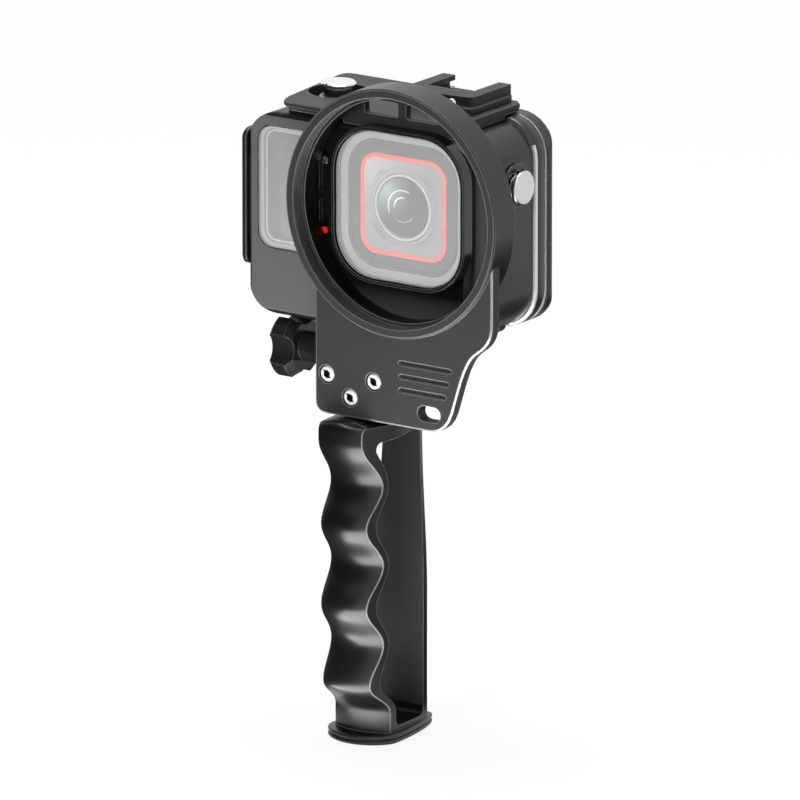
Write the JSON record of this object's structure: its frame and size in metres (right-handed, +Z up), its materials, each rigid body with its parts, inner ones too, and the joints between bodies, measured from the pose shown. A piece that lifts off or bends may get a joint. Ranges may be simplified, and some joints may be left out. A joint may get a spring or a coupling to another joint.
{
  "type": "underwater camera housing",
  "caption": "Waterproof housing for a compact camera on a finger-grooved grip, with a filter ring, a cold shoe bracket, push buttons and a latched rear door.",
  "frame": {"origin": "middle of the underside of the grip's foot", "axes": "+Z up along the grip, -Y to the front where the lens looks, +X to the right in a view from the front"},
  "size_m": [0.0967, 0.0552, 0.1937],
  "materials": {
    "anodised_black": "satin black anodising on aluminium",
    "housing_black": "fine satin moulded plastic",
    "gloss_black": "smooth glossy plastic",
    "steel": "turned stainless steel",
    "polished": "bright turned metal",
    "clear_glass": "clear polished",
    "dark_glass": "coated lens glass",
    "pale_rubber": "pale silicone",
    "grey_rubber": "silicone",
    "red": "satin red",
    "camera_grey": "fine matt"
  },
  "bodies": {
    "housing": {"grip_handle": "anodised_black", "ring_plate": "anodised_black", "plate_screw_a": "steel", "plate_screw_b": "steel", "plate_screw_c": "steel", "mount_nut": "steel", "housing_body": "housing_black", "port_frame": "gloss_black", "port_glass": "clear_glass", "port_seal": "pale_rubber", "front_window": "clear_glass", "front_window_seal": "pale_rubber", "status_lamp": "red", "pocket_screw": "steel", "hinge_pin": "steel", "top_bracket": "anodised_black", "bracket_screw_left": "steel", "bracket_screw_right": "steel", "cold_shoe": "anodised_black", "shoe_stop_pin": "steel", "shutter_collar": "polished", "shutter_spring": "steel", "power_collar": "polished", "power_spring": "steel", "camera_body": "camera_grey", "camera_lens_block": "camera_grey", "camera_red_frame": "red", "camera_lens_ring": "steel", "camera_lens": "dark_glass", "camera_front_screen": "camera_grey", "camera_rear_screen": "gloss_black"},
    "door": {"rear_door": "housing_black", "door_window": "clear_glass", "door_seal": "grey_rubber", "latch_pin": "steel"},
    "latch": {"latch_lever": "housing_black"},
    "shutter": {"shutter_button": "polished", "shutter_o_ring": "grey_rubber", "shutter_clip": "steel"},
    "power": {"power_button": "polished", "power_o_ring": "grey_rubber", "power_clip": "steel"},
    "thumb_screw": {"thumb_knob": "housing_black", "thumb_shaft": "steel"}
  },
  "joints": [
    {"name": "door_swing", "type": "hinge", "parent": "housing", "child": "door", "pos_m": [0.035, 0.0315, 0.1485], "axis": [0, 0, -1], "range_deg": [0, 120]},
    {"name": "latch_swing", "type": "hinge", "parent": "door", "child": "latch", "pos_m": [-0.0442, 0.0315, 0.1517], "axis": [0, 0, -1], "range_deg": [0, 100]},
    {"name": "shutter_press", "type": "slide", "parent": "housing", "child": "shutter", "axis": [0, 0, -1], "range_m": [0, 0.0018], "stiffness_N_per_m": 900, "springref_m": -0.001, "deforming": ["shutter_spring"]},
    {"name": "power_press", "type": "slide", "parent": "housing", "child": "power", "axis": [-1, 0, 0], "range_m": [0, 0.0018], "stiffness_N_per_m": 900, "springref_m": -0.001, "deforming": ["power_spring"]},
    {"name": "thumb_turn", "type": "hinge", "parent": "housing", "child": "thumb_screw", "pos_m": [0, 0.002, 0.1091], "axis": [1, 0, 0], "continuous": true}
  ]
}
